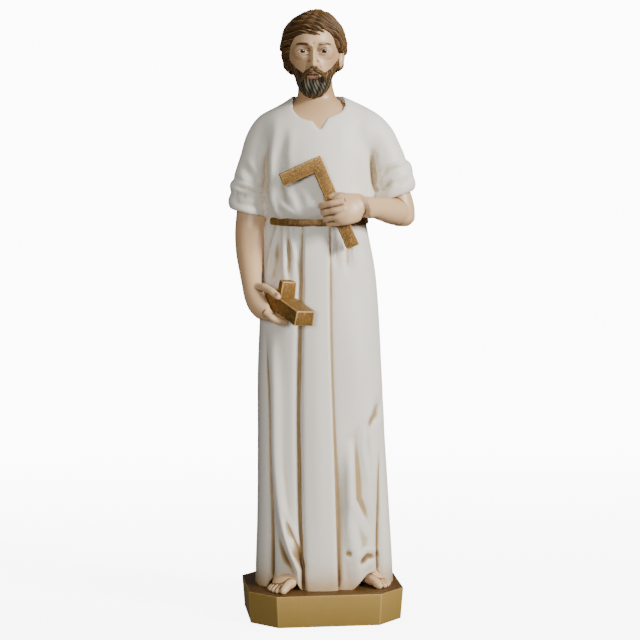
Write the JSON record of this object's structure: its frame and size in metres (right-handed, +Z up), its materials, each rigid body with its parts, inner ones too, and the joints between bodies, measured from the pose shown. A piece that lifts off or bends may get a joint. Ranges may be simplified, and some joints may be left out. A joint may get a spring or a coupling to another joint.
{
  "type": "saint joseph statue",
  "caption": "Painted cast resin statue of a bearded saint in a belted robe, holding a try square and a hand plane, standing on a chamfered plinth.",
  "frame": {"origin": "middle of the plinth's flat underside, on the surface that the statue stands on", "axes": "+Z up through the figure, -Y the front of the plinth, +X towards the hand that holds the try square"},
  "size_m": [0.1867, 0.1394, 0.6113],
  "materials": {
    "painted_resin": "matt paint on cast resin: white robe, flesh, brown hair, antique gold tools, belt and plinth"
  },
  "bodies": {
    "root": {"statue": "painted_resin"}
  },
  "joints": []
}
